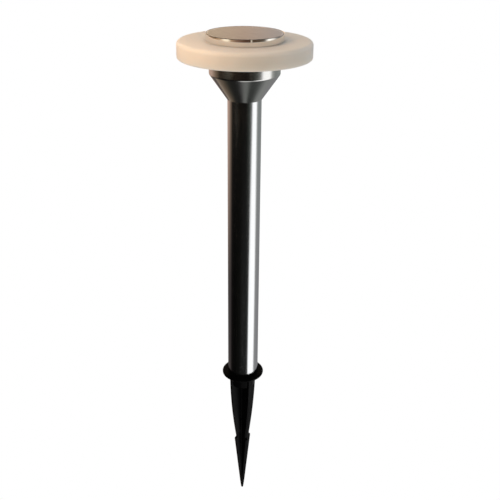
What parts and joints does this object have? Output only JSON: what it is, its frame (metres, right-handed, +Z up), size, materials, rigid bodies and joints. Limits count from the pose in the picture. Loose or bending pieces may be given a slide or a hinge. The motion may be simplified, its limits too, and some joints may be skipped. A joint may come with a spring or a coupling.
{
  "type": "solar garden light",
  "caption": "Garden light with a round frosted disc and a solar panel cap on a slim steel pole, standing on a barbed plastic ground spike.",
  "frame": {"origin": "on the light's axis, on the underside of the spike's flange, which is level with the soil", "axes": "+Z up along the pole, +X and +Y along the spike's fins"},
  "size_m": [0.124, 0.124, 0.526],
  "materials": {
    "black_plastic": "moulded satin black polypropylene",
    "inner_black_plastic": "moulded black ABS",
    "brushed_steel": "fine satin grinding",
    "mill_steel": "plain cold rolled sheet",
    "polished_steel": "polished",
    "screw_steel": "bright stainless",
    "frosted_acrylic": "sandblasted cast acrylic",
    "clear_acrylic": "clear moulded polycarbonate",
    "panel_glass": "clear, polished",
    "cell_film": "dark brown amorphous silicon film",
    "nickel_plate": "nickel plated spring steel",
    "board_black": "black fibreglass board",
    "board_green": "green solder mask on fibreglass",
    "board_white": "white solder mask on a flexible board",
    "white_plastic": "moulded white ABS",
    "phosphor": "yellow phosphor in clear resin",
    "black_rubber": "moulded rubber",
    "clear_silicone": "clear silicone",
    "chip_resin": "black moulding resin",
    "ferrite": "dark ferrite",
    "capacitor_sleeve": "dark blue shrink sleeve",
    "battery_sleeve": "plain green plastic sleeve over a steel can",
    "wire_insulation": "PVC insulation, one red and one black wire in each pair"
  },
  "bodies": {
    "spike": {"ground_spike": "black_plastic"},
    "pole": {"pole_tube": "brushed_steel"},
    "head": {"funnel_collar": "brushed_steel", "collar_plate": "mill_steel", "seat_ring": "mill_steel", "head_spigot": "inner_black_plastic", "spigot_screws": "screw_steel", "disc_gasket": "black_rubber", "frosted_disc": "frosted_acrylic", "cup_washer": "clear_silicone", "light_cup": "clear_acrylic"},
    "module": {"cap_ring": "polished_steel", "panel_glass": "panel_glass", "cell_strips": "cell_film", "cell_busbars": "nickel_plate", "panel_board": "board_black", "module_deck": "white_plastic", "module_oring": "black_rubber", "led_drum": "white_plastic", "led_board": "board_white", "led_packages": "white_plastic", "led_phosphors": "phosphor", "control_board": "board_green", "board_screws": "screw_steel", "driver_chip": "chip_resin", "chip_legs": "nickel_plate", "inductor": "ferrite", "capacitor": "capacitor_sleeve", "resistors": "chip_resin", "battery_tray": "inner_black_plastic", "tray_screws": "screw_steel", "battery_cell": "battery_sleeve", "positive_contact": "nickel_plate", "negative_strip": "nickel_plate", "switch_frame": "nickel_plate", "panel_wires": "wire_insulation", "battery_wires": "wire_insulation", "led_wires": "wire_insulation"},
    "cell_cap": {"battery_cap": "inner_black_plastic", "contact_disc": "nickel_plate", "battery_spring": "nickel_plate"},
    "switch_knob": {"switch_slider": "white_plastic"}
  },
  "joints": [
    {"name": "pole_lift", "type": "slide", "parent": "spike", "child": "pole", "axis": [0, 0, 1], "range_m": [0, 0.04]},
    {"name": "head_lift", "type": "slide", "parent": "pole", "child": "head", "axis": [0, 0, 1], "range_m": [0, 0.03]},
    {"name": "module_lift", "type": "slide", "parent": "head", "child": "module", "axis": [0, 0, 1], "range_m": [0, 0.09]},
    {"name": "battery_cap_turn", "type": "hinge", "parent": "module", "child": "cell_cap", "pos_m": [0, 0, 0.2782], "axis": [0, 0, 1], "range_deg": [0, 40]},
    {"name": "switch_slide", "type": "slide", "parent": "module", "child": "switch_knob", "axis": [1, 0, 0], "range_m": [0, 0.002]}
  ]
}
